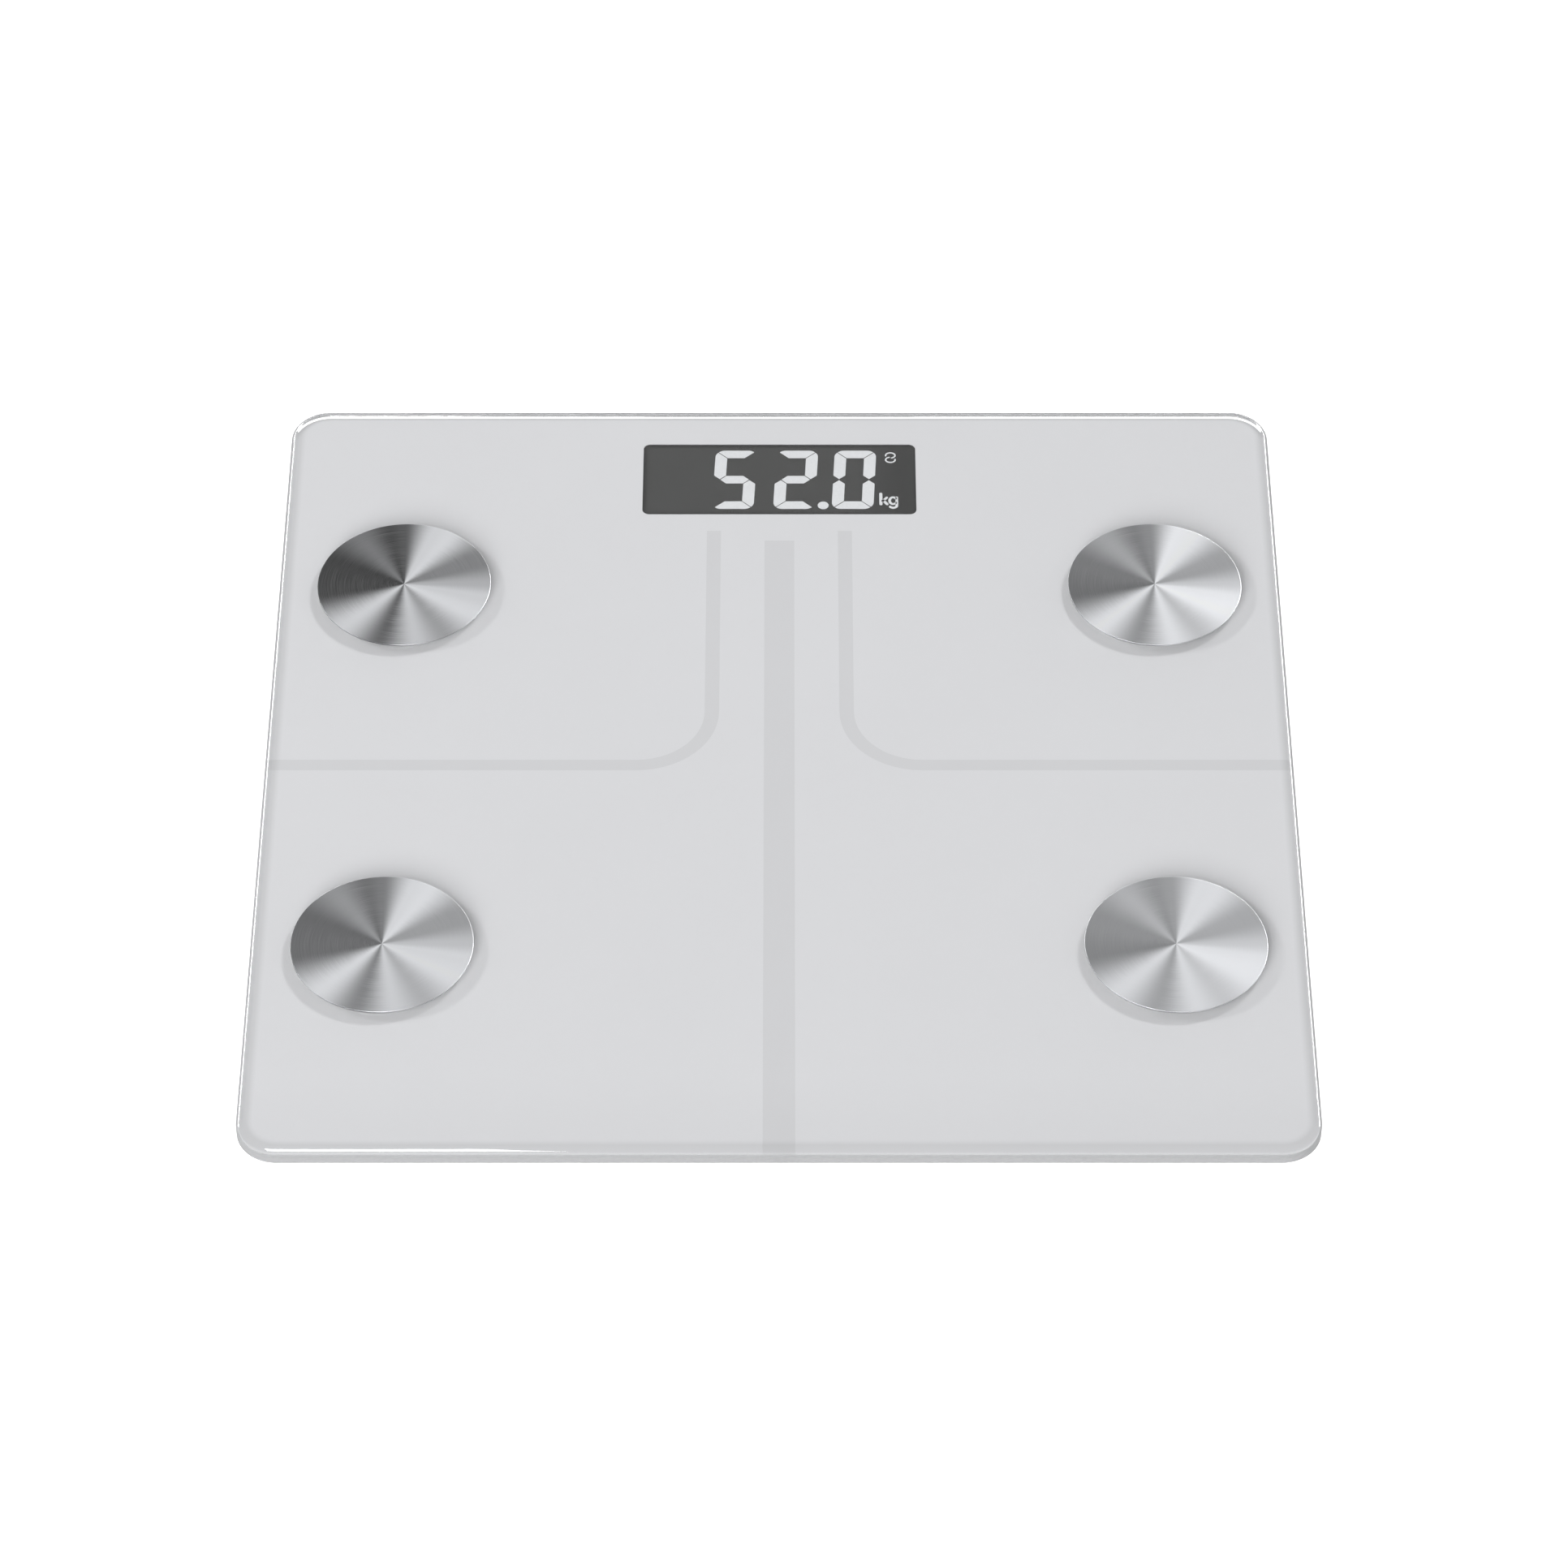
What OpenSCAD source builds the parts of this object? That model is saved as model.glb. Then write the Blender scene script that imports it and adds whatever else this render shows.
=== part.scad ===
/* [Platform] */
// Side of the square glass platform
glass_w = 260; // [255:1:275]
// Thickness of the glass
glass_t = 4.7; // [4:0.1:8]
// Corner radius of the glass in plan
glass_corner_r = 10; // [8:1:14]
// Radius of the polished edge above
glass_edge_r = 1.7; // [0.5:0.1:1.8]
// Radius of the broken edge below, next to the print
glass_arris_r = 0.3; // [0.2:0.1:0.4]
// Clear margin between the print and the side of the glass
print_margin = 0.7; // [0.5:0.1:2]

/* [Printed lines] */
// Width of the centre stripe
stripe_w = 7.8; // [4:0.2:12]
// Width of the two L-shaped lines
line_w = 3.7; // [2:0.1:6]
// Distance of each L line's upright from the centre
line_x = 17.2; // [14:0.1:22]
// Height of the L lines' level run above the middle of the platform
line_y = 0.2; // [-5:0.1:5]
// Centre-line radius of the L lines' bend
line_bend_r = 19; // [12:0.5:24]

/* [Display] */
// Width of the display window
window_w = 72.3; // [60:0.1:73]
// Depth of the display window
window_d = 27; // [20:0.1:27.4]
// Distance of the window's centre from the platform's centre
window_y = 105.7; // [105.5:0.1:106.5]

/* [Electrodes] */
// Diameter of each electrode disc
electrode_d = 45; // [38:0.5:46]
// Thickness of each electrode disc
electrode_t = 0.5; // [0.4:0.1:2]
// Sideways distance of the discs from the centre
electrode_x = 97.5; // [95:0.1:99]
// Distance of the rear discs behind the centre
electrode_rear_y = 62.7; // [59:0.1:63]
// Distance of the front discs before the centre
electrode_front_y = 63.9; // [62:0.1:66]

/* [Base and feet] */
// Height of the base above the floor
base_z = 5; // [4.5:0.1:5.5]
// Width of the base where it meets the glass
base_w = 250; // [249:1:252]
// Distance of the feet from the centre, each way
foot_xy = 92; // [91:0.5:93]
// Diameter of each foot cap
foot_d = 35.2; // [33:0.2:35.4]
// Travel of each foot as its load cell bends
foot_travel = 0.5; // [0.3:0.1:0.5]

/* [Battery bay] */
// Diameter of one AAA cell
cell_d = 10.5; // [10:0.1:10.5]
// Length of one AAA cell with its nub
cell_l = 44.5; // [44:0.1:44.5]
// Distance between the cells' centre lines
cell_pitch = 11; // [10.8:0.1:11.1]

/* [Hidden] */
$fn = 64;

FRONT_REAR = [["front", -1], ["rear", 1]];
LEFT_RIGHT = [["left", -1], ["right", 1]];
CORNER_PARTS = ["electrode", "load_cell_frame", "load_cell_beam", "strain_gauge", "foot_cap", "foot_pad"];

cut = 0.1;
slab_t = 0.01;

// Levels, from the floor up
floor_t = 2;
floor_z = base_z + floor_t;
base_top = 18.5;
print_z = 18.8;
glass_z = 19;
glass_top = glass_z + glass_t;
bond_t = 0.15;
electrode_z = glass_top + bond_t;

// Base outline: undercut chamfer, flared side and wall
base_foot_w = base_w - 22;
base_waist_w = base_w - 15;
base_waist_z = base_z + 2.5;
base_corner_r = 12;
cavity_floor_w = base_w - 20.8;
cavity_top_w = base_w - 4;

// Load cells and feet
cell_sq = 34;
cell_frame_t = 2.5;
cell_hole = 25;
ledge_z = 9.5;
cell_top = ledge_z + cell_frame_t;
well_out = 38.8;
well_in = cell_sq + 0.4;
well_top = 13.5;
foot_hole_d = 36.4;
foot_roof_z = 8;
ledge_hole_d = 26;
foot_top = foot_roof_z - foot_travel - 0.3;
cap_bottom = 1.6;
pad_d = 32;
pad_t = 2.2;
boss_d = 12;
beam_w = 11;
hub_d = 15;
beam_root = cell_hole / 2 - 0.3;
notch_w = 12;
notch_top = 16.5;

// Electrode fixings
stud_d = 4;
stud_bottom = 14.4;
glass_hole_d = 6;
print_hole_d = 7;
washer_t = 0.7;
washer_d = 9;
nut_t = 2.6;
nut_af = 7;

// Display stack
board_z = 11;
board_t = 1.2;
board_top = board_z + board_t;
board_w = 82;
board_front = 66;
board_rear = 117.5;
panel_z = 16.6;
panel_t = 2;
panel_r = 0.6;
panel_w = 80;
panel_d = 29.8;
holder_front = 90.5;
holder_rear = 118.4;
light_w = 74;
light_front = 94.4;
light_rear = 117;
light_z = 12.3;
light_t = 4.2;
strip_w = 72;
strip_front = 91.2;
strip_rear = 93.4;
holder_bore_x = 39.2;
holder_bore_y = 104;
holder_bore_top = 15.5;
board_screw_at = [[-33.5, 86.5], [33.5, 86.5], [0, 69]];
board_boss_d = 6;
board_bore_d = 2.1;
screw_d = 2;

// Unit switch and button
button_at = [-24, 98];
button_d = 7.8;
button_hole_d = 8.4;
button_flange_d = 11;
switch_z = 8.5;
plunger_d = 3.2;
plunger_gap = 0.04;

// Battery bay and door
bay_x = 25;
bay_y = 17;
bay_wall = 1.8;
bay_roof_z = 17.5;
bay_block_x = 30.6;
bay_block_y = 22.6;
bay_block_top = 9.2;
cell_z = 12.15;
plate_t = 0.4;
tab_z = 15;
door_x = 28;
door_gap = 0.4;
door_t = 1.6;
door_rear = 19;
hinge_y = -18.4;
hinge_z = 6.3;
barrel_r = 1.3;
hinge_pin_r = 0.9;
hinge_bore_r = 0.95;
hinge_pin_l = 1.6;

// Wires: routes from each part to the board, those of the cells and electrodes for the right-hand side
wire_d = 1;
wire_pitch = 1.5;
wire_sides = 6;
front_cell_route = [
    [78, -92, 12.6], [76.5, -92, 14.8], [68, -86, 15], [55, -62, 15], [42, -38, 15],
    [38, 0, 15], [38, 40, 15], [34, 60, 14.5], [32, 68, 12.8]
];
rear_cell_route = [
    [78, 90, 12.6], [76.5, 90, 14.8], [66, 88, 15], [54, 82, 15], [42, 80, 14], [37, 80, 12.8]
];
front_electrode_route = [
    [93, -64.2, 17], [84, -61, 16], [66, -40, 15.5], [52, -10, 15.5], [47, 25, 15.5], [41, 56, 14.5],
    [38.5, 69, 12.8]
];
rear_electrode_route = [
    [93, 62.4, 17], [82, 62.4, 15.5], [62, 66, 15.5], [48, 70, 14.5], [39, 73, 12.8]
];
positive_route = [
    [29.7, -11, 15.2], [33, -6, 15.2], [33, 20, 15.2], [30, 44, 14.5], [27, 58, 14.5], [25, 69, 12.8]
];
negative_route = [
    [-29.7, 11, 15.2], [-33, 16, 15.2], [-33, 30, 15.2], [-30, 46, 14.5], [-27, 58, 14.5], [-25, 69, 12.8]
];

// ---- Shared shapes ----

module rounded_square(w, d, r, steps = 64) {
    square([w - 2 * r, d], center = true);
    square([w, d - 2 * r], center = true);
    for (x = [-1, 1], y = [-1, 1])
        translate([x * (w / 2 - r), y * (d / 2 - r)]) circle(r, $fn = steps);
}

module rounded_plate(w, d, t, r) {
    linear_extrude(t) rounded_square(w, d, r);
}

// Box from two opposite corners
module box(low, high) {
    translate(low) cube(high - low);
}

module post(d, z0, z1) {
    translate([0, 0, z0]) cylinder(d = d, h = z1 - z0);
}

module square_ring(outer, inner, z0, z1, r) {
    translate([0, 0, z0]) difference() {
        rounded_plate(outer, outer, z1 - z0, r);
        translate([-inner / 2, -inner / 2, -cut]) cube([inner, inner, z1 - z0 + 2 * cut]);
    }
}

function electrode_y(f) = f > 0 ? electrode_rear_y : -electrode_front_y;

module at_electrodes() {
    for (f = [-1, 1], s = [-1, 1])
        translate([s * electrode_x, electrode_y(f), 0]) children();
}

module at_feet() {
    for (f = [-1, 1], s = [-1, 1])
        translate([s * foot_xy, f * foot_xy, 0]) children();
}

// Load-cell parts are drawn with the beam's root towards -X, and turned to face the middle
module at_cell(f, s) {
    translate([s * foot_xy, f * foot_xy, 0]) mirror([s < 0 ? 1 : 0, 0, 0]) children();
}

// ---- Round wire along a smooth route ----

function unit(v) = v / norm(v);
function spline(a, b, c, d, u) =
    0.5 * (2 * b + (c - a) * u + (2 * a - 5 * b + 4 * c - d) * u * u + (3 * b - a - 3 * c + d) * u * u * u);
function smooth(p, steps) = let (n = len(p) - 1) concat(
    [for (i = [0 : n - 1]) for (k = [0 : steps - 1])
        spline(p[max(i - 1, 0)], p[i], p[i + 1], p[min(i + 2, n)], k / steps)],
    [p[n]]
);
function tangents(p) = let (n = len(p) - 1) [for (i = [0 : n]) unit(p[min(i + 1, n)] - p[max(i - 1, 0)])];
function carried(t, v, i = 0) =
    i == len(t) ? [] : let (m = unit(v - (v * t[i]) * t[i])) concat([m], carried(t, m, i + 1));

module tube(p, r, sides, up = [0, 0, 1]) {
    t = tangents(p);
    m = carried(t, up);
    n = len(p);
    rings = [for (i = [0 : n - 1]) for (k = [0 : sides - 1])
        let (a = 360 * k / sides) p[i] + r * (cos(a) * m[i] + sin(a) * cross(t[i], m[i]))];
    walls = [for (i = [0 : n - 2]) for (k = [0 : sides - 1])
        let (a = i * sides + k, b = i * sides + (k + 1) % sides) [a, a + sides, b + sides, b]];
    first = [[for (k = [0 : sides - 1]) k]];
    last = [[for (k = [sides - 1 : -1 : 0]) (n - 1) * sides + k]];
    polyhedron(points = rings, faces = concat(walls, first, last));
}

module wire(route, steps = 2) {
    tube(smooth(route, steps), wire_d / 2, wire_sides);
}

// ---- Platform ----

// Section through a slab with a wide round edge above and a small one below
module slab_section(w, t, edge_r, arris_r) {
    translate([edge_r - w / 2, arris_r]) square([w - 2 * edge_r, t - arris_r]);
    translate([-w / 2, arris_r]) square([w, t - edge_r - arris_r]);
    translate([arris_r - w / 2, 0]) square([w - 2 * arris_r, t - edge_r]);
    for (x = [-1, 1]) {
        translate([x * (w / 2 - edge_r), t - edge_r]) circle(edge_r, $fn = 64);
        translate([x * (w / 2 - arris_r), arris_r]) circle(arris_r, $fn = 64);
    }
}

// Slab that is square in plan, with round corners
module polished_slab(w, t, corner_r, edge_r, arris_r) {
    module side() {
        rotate([90, 0, 0]) linear_extrude(w - 2 * corner_r, center = true)
            slab_section(w, t, edge_r, arris_r);
    }
    side();
    rotate([0, 0, 90]) side();
    for (x = [-1, 1], y = [-1, 1])
        translate([x * (w / 2 - corner_r), y * (w / 2 - corner_r), 0]) rotate_extrude() intersection() {
            slab_section(2 * corner_r, t, edge_r, arris_r);
            square([corner_r, t]);
        }
}

module glass_platform() {
    color([0.86, 0.93, 0.91, 0.35]) difference() {
        translate([0, 0, glass_z])
            polished_slab(glass_w, glass_t, glass_corner_r, glass_edge_r, glass_arris_r);
        at_electrodes() post(glass_hole_d, glass_z - cut, glass_top + cut);
    }
}

print_w = glass_w - 2 * print_margin;

module line_shapes() {
    window_front = window_y - window_d / 2;
    stripe_top = window_front - 13.1;
    upright_top = window_front - 6.3;
    bend_y = line_y + line_bend_r;
    bend_x = line_x + line_bend_r;
    translate([-stripe_w / 2, -print_w / 2]) square([stripe_w, stripe_top + print_w / 2]);
    for (s = [0, 1]) mirror([s, 0]) {
        translate([line_x - line_w / 2, bend_y]) square([line_w, upright_top - bend_y]);
        translate([bend_x, line_y - line_w / 2]) square([print_w / 2 - bend_x, line_w]);
        translate([bend_x, bend_y]) intersection() {
            difference() {
                circle(line_bend_r + line_w / 2);
                circle(line_bend_r - line_w / 2);
            }
            translate([-2 * line_bend_r, -2 * line_bend_r]) square(2 * line_bend_r);
        }
    }
}

module back_print() {
    color([0.85, 0.855, 0.86]) translate([0, 0, print_z]) linear_extrude(glass_z - print_z) difference() {
        rounded_square(print_w, print_w, glass_corner_r - print_margin);
        translate([0, window_y]) rounded_square(window_w, window_d, 1.8);
        line_shapes();
        at_electrodes() circle(d = print_hole_d);
    }
}

module printed_lines() {
    color([0.81, 0.82, 0.815]) translate([0, 0, print_z]) linear_extrude(glass_z - print_z) line_shapes();
}

module adhesive_frame() {
    color([0.92, 0.92, 0.9]) {
        square_ring(base_w - 0.4, cavity_top_w + 0.4, base_top, print_z, base_corner_r);
        at_feet() square_ring(cell_sq, cell_hole, base_top, print_z, 2);
        translate([0, 0, base_top]) rounded_plate(2 * bay_x, 2 * bay_y, print_z - base_top, 2);
    }
}

// ---- Electrodes ----

module electrode(f, s) {
    bevel = 0.2;
    rim = 0.15;
    burr = 0.1;
    r = electrode_d / 2;
    color([0.72, 0.73, 0.74]) translate([s * electrode_x, electrode_y(f), electrode_z])
        rotate_extrude($fn = 128)
            polygon([[0, 0], [r - burr, 0], [r, burr], [r, electrode_t - rim], [r - bevel, electrode_t],
                [0, electrode_t]]);
}

module electrode_bonds() {
    color([0.8, 0.8, 0.78]) at_electrodes() translate([0, 0, glass_top]) difference() {
        cylinder(d = electrode_d - 3, h = bond_t);
        translate([0, 0, -cut]) cylinder(d = glass_hole_d, h = bond_t + 2 * cut);
    }
}

module electrode_studs() {
    color([0.7, 0.71, 0.72]) at_electrodes() post(stud_d, stud_bottom, electrode_z);
}

module electrode_washers() {
    color([0.75, 0.76, 0.77]) at_electrodes() difference() {
        post(washer_d, print_z - washer_t, print_z);
        post(stud_d + 0.1, print_z - washer_t - cut, print_z + cut);
    }
}

module electrode_nuts() {
    nut_top = print_z - washer_t;
    color([0.7, 0.71, 0.72]) at_electrodes() difference() {
        translate([0, 0, nut_top - nut_t]) cylinder(d = nut_af / cos(30), h = nut_t, $fn = 6);
        post(stud_d + 0.1, nut_top - nut_t - cut, nut_top + cut);
    }
}

// ---- Base housing ----

module outline_slab(w, r, z) {
    translate([0, 0, z]) linear_extrude(slab_t) rounded_square(w, w, r, 32);
}

module base_shell() {
    difference() {
        hull() {
            outline_slab(base_foot_w, base_corner_r, base_z);
            outline_slab(base_waist_w, base_corner_r, base_waist_z);
            outline_slab(base_w, base_corner_r, base_top - slab_t);
        }
        hull() {
            outline_slab(cavity_floor_w, base_corner_r - 2, floor_z);
            outline_slab(cavity_top_w, base_corner_r - 2, base_top);
        }
    }
}

module foot_well() {
    difference() {
        translate([-well_out / 2, -well_out / 2, floor_z - cut])
            cube([well_out, well_out, well_top - floor_z + cut]);
        translate([-well_in / 2, -well_in / 2, ledge_z]) cube([well_in, well_in, well_top]);
    }
}

module foot_well_holes() {
    post(foot_hole_d, base_z - cut, foot_roof_z);
    post(ledge_hole_d, foot_roof_z - cut, ledge_z + cut);
}

module ribs() {
    rib_t = 1.6;
    rib_top = 12;
    well_edge = foot_xy - well_out / 2;
    for (s = [-1, 1]) {
        for (x = [46, foot_xy]) {
            span = x == foot_xy ? well_edge : board_front - 4;
            translate([s * x - rib_t / 2, -span, floor_z - cut])
                cube([rib_t, span * 2, rib_top - floor_z + cut]);
        }
        for (y = [-46, 46])
            translate([-foot_xy, y - rib_t / 2, floor_z - cut])
                cube([2 * foot_xy, rib_t, rib_top - floor_z + cut]);
    }
    translate([-well_edge, -foot_xy - rib_t / 2, floor_z - cut])
        cube([2 * well_edge, rib_t, rib_top - floor_z + cut]);
}

module bay_solid() {
    box([-bay_block_x, -bay_block_y, base_z], [bay_block_x, bay_block_y, bay_block_top]);
    box([-bay_x - bay_wall, -bay_y - bay_wall, base_z], [bay_x + bay_wall, bay_y + bay_wall, base_top]);
}

module bay_holes() {
    seat_z = base_z + door_t + 0.25;
    recess_front = hinge_y - barrel_r - door_gap;
    recess_rear = door_rear + door_gap;
    hinge_room = barrel_r + 0.3;
    finger_w = 16;
    finger_d = 5;
    finger_h = 1.2;
    box([-bay_x, -bay_y, base_z - cut], [bay_x, bay_y, bay_roof_z]);
    box([-door_x - door_gap, recess_front, base_z - cut], [door_x + door_gap, recess_rear, seat_z]);
    box([-door_x - door_gap, recess_front, base_z - cut], [door_x + door_gap, hinge_y + hinge_room,
        hinge_z + hinge_room]);
    translate([0, hinge_y, hinge_z]) rotate([0, 90, 0])
        cylinder(r = hinge_bore_r, h = 2 * (door_x + door_gap + hinge_pin_l), center = true);
    box([-finger_w / 2, recess_rear - cut, base_z - cut],
        [finger_w / 2, recess_rear + finger_d, base_z + finger_h]);
    for (s = [-1, 1])
        translate([s * (bay_x + bay_wall / 2), -s * cell_pitch, tab_z + plate_t / 2])
            cube([bay_wall + 2 * cut, 3.6, plate_t + 0.4], center = true);
}

label_w = 60;
label_d = 28;
label_y = -58;
label_recess = 0.3;
label_room = 0.6;
label_t = 0.15;
label_r = 2;

module base_housing() {
    color([0.93, 0.93, 0.92]) difference() {
        union() {
            base_shell();
            at_feet() foot_well();
            ribs();
            bay_solid();
            for (p = board_screw_at) translate(p) post(board_boss_d, floor_z - cut, board_z);
        }
        at_feet() foot_well_holes();
        bay_holes();
        for (p = board_screw_at) translate(p) post(board_bore_d, floor_z + 0.6, board_z + cut);
        translate(button_at) post(button_hole_d, base_z - cut, floor_z + cut);
        translate([0, label_y, base_z - cut])
            rounded_plate(label_w + label_room, label_d + label_room, label_recess + cut,
                label_r + label_room / 2);
    }
}

module cell_retainers() {
    color([0.9, 0.9, 0.88]) for (f = [-1, 1], s = [-1, 1]) at_cell(f, s) difference() {
        square_ring(cell_sq, cell_hole, cell_top, base_top, 2);
        box([-cell_sq / 2 - cut, -notch_w / 2, cell_top - cut],
            [-cell_hole / 2 + cut, notch_w / 2, notch_top]);
    }
}

// ---- Load cells and feet ----

module load_cell_frame(f, s) {
    color([0.74, 0.75, 0.76]) at_cell(f, s) square_ring(cell_sq, cell_hole, ledge_z, cell_top, 2);
}

module load_cell_beam(f, s) {
    color([0.68, 0.69, 0.71]) at_cell(f, s) union() {
        box([-beam_root, -beam_w / 2, ledge_z], [0, beam_w / 2, cell_top]);
        post(hub_d, ledge_z, cell_top);
    }
}

module strain_gauge(f, s) {
    color([0.95, 0.95, 0.93]) at_cell(f, s)
        translate([-9.2, 0, cell_top]) rounded_plate(4.6, 8, 0.4, 1);
}

module foot_cap(f, s) {
    chamfer = 0.8;
    color([0.9, 0.9, 0.89]) at_cell(f, s) difference() {
        rotate_extrude($fn = 96) polygon([
            [0, cap_bottom], [foot_d / 2 - chamfer, cap_bottom], [foot_d / 2, cap_bottom + chamfer],
            [foot_d / 2, foot_top], [boss_d / 2, foot_top], [boss_d / 2, ledge_z], [0, ledge_z]
        ]);
        post(pad_d + 0.2, cap_bottom - cut, pad_t);
    }
}

module foot_pad(f, s) {
    groove_w = 1.2;
    groove_h = 0.5;
    edge = 0.5;
    color([0.55, 0.56, 0.57]) at_cell(f, s) difference() {
        rotate_extrude($fn = 96) polygon([
            [0, 0], [pad_d / 2 - edge, 0], [pad_d / 2, edge], [pad_d / 2, pad_t], [0, pad_t]
        ]);
        for (r = [8, 12]) translate([0, 0, -cut]) difference() {
            cylinder(r = r + groove_w, h = groove_h + cut);
            translate([0, 0, -cut]) cylinder(r = r, h = groove_h + 3 * cut);
        }
    }
}

// ---- Display ----

module lcd_panel() {
    color([0.34, 0.345, 0.345]) translate([0, window_y, panel_z])
        rounded_plate(panel_w, panel_d, panel_t, panel_r);
}

module lcd_backlight() {
    color([0.95, 0.97, 1])
        box([-light_w / 2, light_front, light_z], [light_w / 2, light_rear, light_z + light_t]);
}

module lcd_holder() {
    room = 0.2;
    color([0.25, 0.25, 0.26]) difference() {
        box([-board_w / 2, holder_front, board_top], [board_w / 2, holder_rear, panel_z]);
        box([-light_w / 2 - room, strip_front - room, board_top - cut],
            [light_w / 2 + room, light_rear + room, panel_z + cut]);
        for (s = [-1, 1])
            translate([s * holder_bore_x, holder_bore_y])
                post(board_bore_d, board_top - cut, holder_bore_top);
    }
}

module lcd_contact_strip() {
    color([0.85, 0.6, 0.62]) box([-strip_w / 2, strip_front, board_top], [strip_w / 2, strip_rear, panel_z]);
}

// ---- Board ----

module main_board() {
    color([0.1, 0.4, 0.24]) difference() {
        box([-board_w / 2, board_front, board_z], [board_w / 2, board_rear, board_top]);
        for (p = board_screw_at) translate(p) post(board_bore_d + 0.2, board_z - cut, board_top + cut);
        for (s = [-1, 1]) translate([s * holder_bore_x, holder_bore_y])
            post(board_bore_d + 0.2, board_z - cut, board_top + cut);
    }
}

// Chip body with a row of legs along each side
module chip(at, w, d, h, legs) {
    pitch = d / legs;
    translate([at[0], at[1], board_top]) {
        translate([-w / 2, -d / 2, 0.1]) cube([w, d, h]);
        for (s = [-1, 1], k = [0 : legs - 1])
            translate([s * (w / 2 + 0.5) - 0.55, (k - (legs - 1) / 2) * pitch - pitch / 4, 0])
                cube([1.1, pitch / 2, 0.5]);
    }
}

module processor_chip() {
    color([0.12, 0.12, 0.13]) chip([-4, 80], 9, 9, 1.3, 8);
}

module converter_chip() {
    color([0.12, 0.12, 0.13]) chip([-19, 80], 4.6, 6.4, 1.3, 5);
}

module wireless_module() {
    color([0.75, 0.76, 0.77]) {
        box([13, 72, board_top], [25.5, 87, board_top + 0.8]);
        box([14, 73, board_top + 0.8], [24.5, 82, board_top + 2.2]);
    }
}

module crystal() {
    color([0.8, 0.81, 0.82]) translate([7, 71, board_top]) rounded_plate(7.4, 3.2, 2.4, 1.5);
}

module capacitors() {
    color([0.7, 0.7, 0.72]) for (p = [[-28, 75], [-12.5, 71], [28.5, 76]]) translate(p) {
        post(4, board_top + 0.6, board_top + 4.6);
        translate([-2.1, -2.1, board_top]) cube([4.2, 4.2, 0.7]);
    }
}

module unit_switch() {
    body = 6;
    color([0.16, 0.16, 0.17]) translate(button_at) difference() {
        translate([-body / 2, -body / 2, switch_z]) cube([body, body, board_z - switch_z]);
        post(plunger_d + 2 * plunger_gap, switch_z - cut, board_z - 0.5);
    }
}

button_flange_z = floor_z + 0.1;
button_flange_t = 0.6;

module switch_plunger() {
    color([0.85, 0.85, 0.8]) translate(button_at)
        post(plunger_d, button_flange_z + button_flange_t, switch_z + 1.2);
}

module unit_button() {
    dish_r = 9;
    color([0.6, 0.61, 0.62]) translate(button_at) difference() {
        union() {
            post(button_d, base_z + 0.2, floor_z + 0.2);
            post(button_flange_d, button_flange_z, button_flange_z + button_flange_t);
        }
        translate([0, 0, base_z + 0.6 - dish_r]) sphere(dish_r);
    }
}

// Pan-head screw, head up, with a cross recess
module screw(head_d, head_h, shank_l) {
    difference() {
        union() {
            cylinder(d = head_d, h = head_h);
            translate([0, 0, -shank_l]) cylinder(d = screw_d, h = shank_l + cut);
        }
        for (a = [0, 90]) rotate([0, 0, a])
            translate([-head_d / 3, -0.3, head_h / 2]) cube([2 * head_d / 3, 0.6, head_h]);
    }
}

module board_screws() {
    color([0.6, 0.6, 0.62]) for (p = board_screw_at) translate([p[0], p[1], board_top]) screw(4.4, 1.5, 4.2);
}

module holder_screws() {
    color([0.6, 0.6, 0.62]) for (s = [-1, 1])
        translate([s * holder_bore_x, holder_bore_y, board_z]) rotate([180, 0, 0]) screw(3.4, 1.3, 4.2);
}

// ---- Battery bay ----

contact_x = bay_x - plate_t;

module battery_cells() {
    nub_l = 1;
    nub_d = 3.8;
    color([0.25, 0.45, 0.6]) for (k = [-1 : 1])
        translate([0, k * cell_pitch, cell_z]) mirror([k == 0 ? 1 : 0, 0, 0]) rotate([0, 90, 0]) {
            translate([0, 0, contact_x - cell_l]) cylinder(d = cell_d, h = cell_l - nub_l);
            translate([0, 0, contact_x - nub_l - cut]) cylinder(d = nub_d, h = nub_l + cut);
        }
}

module battery_springs() {
    wire_r = 0.3;
    turns = 3;
    steps = 14;
    last = turns * steps;
    wide_r = 3.6;
    narrow_r = 2.4;
    from_x = -contact_x + wire_r + 0.02;
    to_x = contact_x - cell_l - wire_r - 0.05;
    coil = [for (i = [0 : last]) let (u = i / last, a = 360 * i / steps, r = wide_r + (narrow_r - wide_r) * u)
        [from_x + (to_x - from_x) * u, r * cos(a), r * sin(a)]];
    color([0.78, 0.78, 0.76]) for (k = [-1 : 1])
        translate([0, k * cell_pitch, cell_z])
            mirror([k == 0 ? 1 : 0, 0, 0]) tube(coil, wire_r, 5, [1, 0, 0]);
}

module battery_plates() {
    plate_h = 8;
    one = 8;
    two = cell_pitch + one;
    color([0.8, 0.8, 0.78]) for (s = [-1, 1]) {
        lone_y = -s * cell_pitch;
        pair_y = s * cell_pitch / 2;
        inner = s > 0 ? contact_x : -bay_x;
        for (p = [[lone_y, one], [pair_y, two]])
            translate([inner, p[0] - p[1] / 2, cell_z - plate_h / 2]) cube([plate_t, p[1], plate_h]);
        translate([s > 0 ? contact_x : -29, lone_y - 1.5, tab_z]) cube([29 - contact_x, 3, plate_t]);
    }
}

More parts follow.
